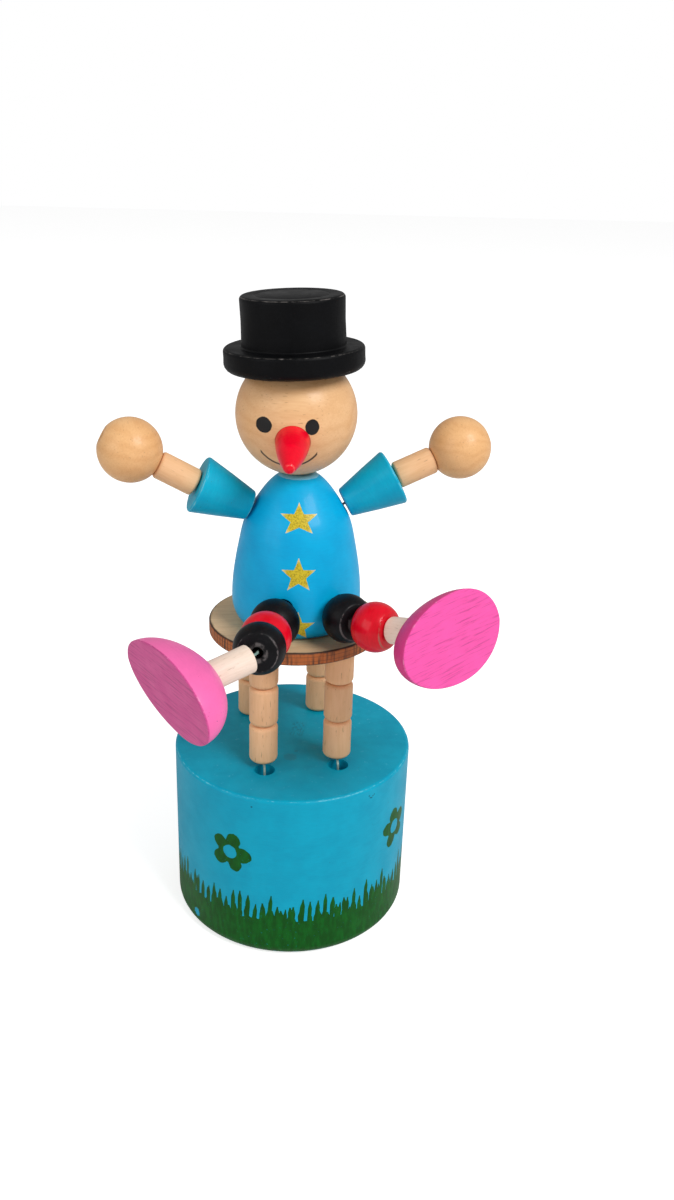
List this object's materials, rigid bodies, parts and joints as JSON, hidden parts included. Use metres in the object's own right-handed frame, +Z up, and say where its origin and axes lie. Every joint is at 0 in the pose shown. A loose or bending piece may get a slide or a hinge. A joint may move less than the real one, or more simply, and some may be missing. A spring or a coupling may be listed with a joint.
{
  "type": "push puppet toy",
  "caption": "Wooden push-up figure in a top hat on a beaded stool, strung over a hollow drum with a sprung button that slackens its strings.",
  "frame": {"origin": "centre of the ring face under the drum, on which the toy stands", "axes": "+Z up through the drum, the figure looks towards -Y, +X to the viewer's right"},
  "size_m": [0.0759, 0.076, 0.1308],
  "materials": {
    "nylon_string": "clear, slightly green nylon",
    "spring_steel": "drawn wire",
    "drum_paint": "gloss turquoise paint",
    "button_wood": "turned beech, unpainted",
    "shirt_paint": "gloss blue paint",
    "lacquered_wood": "clear lacquer on beech",
    "bare_wood": "sanded, unpainted",
    "plywood": "plywood with a burnt, laser-cut edge",
    "stool_wood": "sanded, unpainted",
    "nose_paint": "gloss red paint",
    "hat_paint": "satin black paint",
    "foot_paint": "satin pink paint",
    "red_bead_paint": "gloss red paint",
    "black_bead_paint": "gloss black paint"
  },
  "bodies": {
    "drum": {"drum_base": "drum_paint", "return_spring": "spring_steel", "head_string": "nylon_string", "left_arm_string": "nylon_string", "left_leg_string": "nylon_string", "right_arm_string": "nylon_string", "right_leg_string": "nylon_string"},
    "button": {"push_button": "button_wood"},
    "stool_rear_left_low": {"stool_rear_left_low": "stool_wood"},
    "stool_rear_left_mid": {"stool_rear_left_mid": "stool_wood"},
    "stool_rear_left_top": {"stool_rear_left_top": "stool_wood"},
    "stool_rear_right_low": {"stool_rear_right_low": "stool_wood"},
    "stool_rear_right_mid": {"stool_rear_right_mid": "stool_wood"},
    "stool_rear_right_top": {"stool_rear_right_top": "stool_wood"},
    "stool_front_left_low": {"stool_front_left_low": "stool_wood"},
    "stool_front_left_mid": {"stool_front_left_mid": "stool_wood"},
    "stool_front_left_top": {"stool_front_left_top": "stool_wood"},
    "stool_front_right_low": {"stool_front_right_low": "stool_wood"},
    "stool_front_right_mid": {"stool_front_right_mid": "stool_wood"},
    "stool_front_right_top": {"stool_front_right_top": "stool_wood"},
    "seat": {"stool_seat": "plywood"},
    "torso": {"torso": "shirt_paint"},
    "head": {"head": "lacquered_wood", "nose": "nose_paint", "top_hat": "hat_paint"},
    "left_sleeve": {"left_sleeve": "shirt_paint"},
    "left_forearm": {"left_forearm": "bare_wood"},
    "left_hand": {"left_hand": "lacquered_wood"},
    "right_sleeve": {"right_sleeve": "shirt_paint"},
    "right_forearm": {"right_forearm": "bare_wood"},
    "right_hand": {"right_hand": "lacquered_wood"},
    "left_hip_bead": {"left_hip_bead": "black_bead_paint"},
    "left_knee_bead": {"left_knee_bead": "red_bead_paint"},
    "left_calf_bead": {"left_calf_bead": "black_bead_paint"},
    "left_foot": {"left_shin": "bare_wood", "left_foot": "foot_paint"},
    "right_hip_bead": {"right_hip_bead": "black_bead_paint"},
    "right_knee_bead": {"right_knee_bead": "red_bead_paint"},
    "right_foot": {"right_shin": "bare_wood", "right_foot": "foot_paint"}
  },
  "joints": [
    {"name": "button_press", "type": "slide", "parent": "drum", "child": "button", "axis": [0, 0, 1], "range_m": [0, 0.008], "stiffness_N_per_m": 60, "springref_m": -0.005, "deforming": ["return_spring", "head_string", "left_arm_string", "left_leg_string", "right_arm_string", "right_leg_string"]},
    {"name": "stool_rear_left_low_lean", "type": "hinge", "parent": "drum", "child": "stool_rear_left_low", "pos_m": [-0.0057, 0.0124, 0.0391], "axis": [0, 1, 0], "range_deg": [0, 26], "stiffness_Nm_per_rad": 0.00021, "springref_deg": -1.72},
    {"name": "stool_rear_left_mid_lean", "type": "hinge", "parent": "stool_rear_left_low", "child": "stool_rear_left_mid", "pos_m": [-0.0057, 0.0124, 0.0476], "axis": [0, 1, 0], "range_deg": [0, 14], "stiffness_Nm_per_rad": 0.0002, "springref_deg": -1.72},
    {"name": "stool_rear_right_low_lean", "type": "hinge", "parent": "drum", "child": "stool_rear_right_low", "pos_m": [0.0095, 0.0124, 0.0391], "axis": [0, 1, 0], "range_deg": [0, 26], "stiffness_Nm_per_rad": 0.00032, "springref_deg": -1.72},
    {"name": "stool_rear_right_mid_lean", "type": "hinge", "parent": "stool_rear_right_low", "child": "stool_rear_right_mid", "pos_m": [0.0095, 0.0124, 0.0476], "axis": [0, 1, 0], "range_deg": [0, 14], "stiffness_Nm_per_rad": 0.00021, "springref_deg": -1.72},
    {"name": "stool_rear_right_top_lean", "type": "hinge", "parent": "stool_rear_right_mid", "child": "stool_rear_right_top", "pos_m": [0.0057, 0.0124, 0.0561], "axis": [0, -1, 0], "range_deg": [0, 7], "stiffness_Nm_per_rad": 0.0002, "springref_deg": -1.72},
    {"name": "stool_front_left_low_lean", "type": "hinge", "parent": "drum", "child": "stool_front_left_low", "pos_m": [-0.0057, -0.0102, 0.0403], "axis": [0, 1, 0], "range_deg": [0, 26], "stiffness_Nm_per_rad": 0.0003, "springref_deg": -1.72},
    {"name": "stool_front_left_mid_lean", "type": "hinge", "parent": "stool_front_left_low", "child": "stool_front_left_mid", "pos_m": [-0.0057, -0.0102, 0.0488], "axis": [0, 1, 0], "range_deg": [0, 14], "stiffness_Nm_per_rad": 0.0002, "springref_deg": -1.72},
    {"name": "stool_front_left_top_lean", "type": "hinge", "parent": "stool_front_left_mid", "child": "stool_front_left_top", "pos_m": [-0.0095, -0.0102, 0.0573], "axis": [0, -1, 0], "range_deg": [0, 4], "stiffness_Nm_per_rad": 0.0002, "springref_deg": -1.72},
    {"name": "stool_front_right_low_lean", "type": "hinge", "parent": "drum", "child": "stool_front_right_low", "pos_m": [0.0095, -0.0102, 0.0403], "axis": [0, 1, 0], "range_deg": [0, 26], "stiffness_Nm_per_rad": 0.0003, "springref_deg": -1.72},
    {"name": "stool_front_right_mid_lean", "type": "hinge", "parent": "stool_front_right_low", "child": "stool_front_right_mid", "pos_m": [0.0095, -0.0102, 0.0488], "axis": [0, 1, 0], "range_deg": [0, 14], "stiffness_Nm_per_rad": 0.0002, "springref_deg": -1.72},
    {"name": "stool_front_right_top_lean", "type": "hinge", "parent": "stool_front_right_mid", "child": "stool_front_right_top", "pos_m": [0.0057, -0.0102, 0.0573], "axis": [0, -1, 0], "range_deg": [0, 4], "stiffness_Nm_per_rad": 0.0002, "springref_deg": -1.72},
    {"name": "stool_rear_left_top_lean", "type": "hinge", "parent": "drum", "child": "stool_rear_left_top", "pos_m": [-0.00515, 0.0124, 0.03888], "axis": [0, 1, 0], "range_deg": [0, 33], "stiffness_Nm_per_rad": 0.04, "springref_deg": -1.72},
    {"name": "stool_seat_level", "type": "hinge", "parent": "stool_rear_left_top", "child": "seat", "pos_m": [-0.0095, 0.0124, 0.0625], "axis": [0, -1, 0], "range_deg": [0, 33], "stiffness_Nm_per_rad": 0.079, "springref_deg": -1.72},
    {"name": "torso_bow", "type": "hinge", "parent": "seat", "child": "torso", "pos_m": [0, -0.0109, 0.0663], "axis": [1, 0, 0], "range_deg": [0, 6], "stiffness_Nm_per_rad": 0.029, "springref_deg": -1.72},
    {"name": "head_nod", "type": "hinge", "parent": "torso", "child": "head", "pos_m": [-0.00001, -0.0034, 0.09733], "axis": [1, 0, 0], "range_deg": [0, 15], "stiffness_Nm_per_rad": 0.0071, "springref_deg": -1.72},
    {"name": "left_shoulder_droop", "type": "hinge", "parent": "torso", "child": "left_sleeve", "pos_m": [-0.01082, -0.001, 0.08869], "axis": [0, -1, 0], "range_deg": [0, 44], "stiffness_Nm_per_rad": 0.007, "springref_deg": -1.72},
    {"name": "left_elbow_droop", "type": "hinge", "parent": "left_sleeve", "child": "left_forearm", "pos_m": [-0.02118, -0.001, 0.09384], "axis": [0, -1, 0], "range_deg": [0, 24], "stiffness_Nm_per_rad": 0.0029, "springref_deg": -1.72},
    {"name": "left_wrist_droop", "type": "hinge", "parent": "left_forearm", "child": "left_hand", "pos_m": [-0.02785, -0.001, 0.09728], "axis": [0, -1, 0], "range_deg": [0, 12], "stiffness_Nm_per_rad": 0.001, "springref_deg": -1.72},
    {"name": "right_shoulder_droop", "type": "hinge", "parent": "torso", "child": "right_sleeve", "pos_m": [0.01093, -0.001, 0.08881], "axis": [0, 1, 0], "range_deg": [0, 44], "stiffness_Nm_per_rad": 0.007, "springref_deg": -1.72},
    {"name": "right_elbow_droop", "type": "hinge", "parent": "right_sleeve", "child": "right_forearm", "pos_m": [0.02073, -0.001, 0.09433], "axis": [0, 1, 0], "range_deg": [0, 24], "stiffness_Nm_per_rad": 0.0031, "springref_deg": -1.72},
    {"name": "right_wrist_droop", "type": "hinge", "parent": "right_forearm", "child": "right_hand", "pos_m": [0.02769, -0.001, 0.09711], "axis": [0, 1, 0], "range_deg": [0, 12], "stiffness_Nm_per_rad": 0.0011, "springref_deg": -1.72},
    {"name": "left_hip_droop", "type": "hinge", "parent": "torso", "child": "left_hip_bead", "pos_m": [-0.00508, -0.01297, 0.06854], "axis": [0.9205, -0.3907, 0], "range_deg": [0, 6], "stiffness_Nm_per_rad": 0.021, "springref_deg": -1.72},
    {"name": "left_knee_droop", "type": "hinge", "parent": "left_hip_bead", "child": "left_knee_bead", "pos_m": [-0.00782, -0.01952, 0.06858], "axis": [0.9455, -0.3256, 0], "range_deg": [0, 20], "stiffness_Nm_per_rad": 0.015, "springref_deg": -1.72},
    {"name": "left_calf_droop", "type": "hinge", "parent": "left_knee_bead", "child": "left_calf_bead", "pos_m": [-0.01006, -0.02627, 0.06924], "axis": [0.9703, -0.2419, 0], "range_deg": [0, 20], "stiffness_Nm_per_rad": 0.0088, "springref_deg": -1.72},
    {"name": "left_ankle_droop", "type": "hinge", "parent": "left_calf_bead", "child": "left_foot", "pos_m": [-0.01283, -0.03351, 0.07157], "axis": [0.4384, -0.8988, 0], "range_deg": [0, 26], "stiffness_Nm_per_rad": 0.007, "springref_deg": -1.72},
    {"name": "right_hip_droop", "type": "hinge", "parent": "torso", "child": "right_hip_bead", "pos_m": [0.00645, -0.01326, 0.0686], "axis": [0.9205, 0.3907, 0], "range_deg": [0, 6], "stiffness_Nm_per_rad": 0.016, "springref_deg": -1.72},
    {"name": "right_knee_droop", "type": "hinge", "parent": "right_hip_bead", "child": "right_knee_bead", "pos_m": [0.00978, -0.0201, 0.0694], "axis": [0.7193, 0.6947, 0], "range_deg": [0, 28], "stiffness_Nm_per_rad": 0.011, "springref_deg": -1.72},
    {"name": "right_ankle_droop", "type": "hinge", "parent": "right_knee_bead", "child": "right_foot", "pos_m": [0.01474, -0.02543, 0.07158], "axis": [0.7986, 0.6018, 0], "range_deg": [0, 38], "stiffness_Nm_per_rad": 0.0063, "springref_deg": -1.72}
  ],
  "couplings": [
    {"joint": "stool_rear_left_low_lean", "follows": "button_press", "rad_per_m": 56.723},
    {"joint": "stool_rear_left_mid_lean", "follows": "button_press", "rad_per_m": 30.543},
    {"joint": "stool_rear_right_low_lean", "follows": "button_press", "rad_per_m": 56.723},
    {"joint": "stool_rear_right_mid_lean", "follows": "button_press", "rad_per_m": 30.543},
    {"joint": "stool_rear_right_top_lean", "follows": "button_press", "rad_per_m": 15.272},
    {"joint": "stool_front_left_low_lean", "follows": "button_press", "rad_per_m": 56.723},
    {"joint": "stool_front_left_mid_lean", "follows": "button_press", "rad_per_m": 30.543},
    {"joint": "stool_front_left_top_lean", "follows": "button_press", "rad_per_m": 8.7266},
    {"joint": "stool_front_right_low_lean", "follows": "button_press", "rad_per_m": 56.723},
    {"joint": "stool_front_right_mid_lean", "follows": "button_press", "rad_per_m": 30.543},
    {"joint": "stool_front_right_top_lean", "follows": "button_press", "rad_per_m": 8.7266},
    {"joint": "stool_rear_left_top_lean", "follows": "button_press", "rad_per_m": 71.995},
    {"joint": "stool_seat_level", "follows": "button_press", "rad_per_m": 71.995},
    {"joint": "torso_bow", "follows": "button_press", "rad_per_m": 13.09},
    {"joint": "head_nod", "follows": "button_press", "rad_per_m": 32.725},
    {"joint": "left_shoulder_droop", "follows": "button_press", "rad_per_m": 95.993},
    {"joint": "left_elbow_droop", "follows": "button_press", "rad_per_m": 52.36},
    {"joint": "left_wrist_droop", "follows": "button_press", "rad_per_m": 26.18},
    {"joint": "right_shoulder_droop", "follows": "button_press", "rad_per_m": 95.993},
    {"joint": "right_elbow_droop", "follows": "button_press", "rad_per_m": 52.36},
    {"joint": "right_wrist_droop", "follows": "button_press", "rad_per_m": 26.18},
    {"joint": "left_hip_droop", "follows": "button_press", "rad_per_m": 13.09},
    {"joint": "left_knee_droop", "follows": "button_press", "rad_per_m": 43.633},
    {"joint": "left_calf_droop", "follows": "button_press", "rad_per_m": 43.633},
    {"joint": "left_ankle_droop", "follows": "button_press", "rad_per_m": 56.723},
    {"joint": "right_hip_droop", "follows": "button_press", "rad_per_m": 13.09},
    {"joint": "right_knee_droop", "follows": "button_press", "rad_per_m": 61.087},
    {"joint": "right_ankle_droop", "follows": "button_press", "rad_per_m": 82.903}
  ]
}
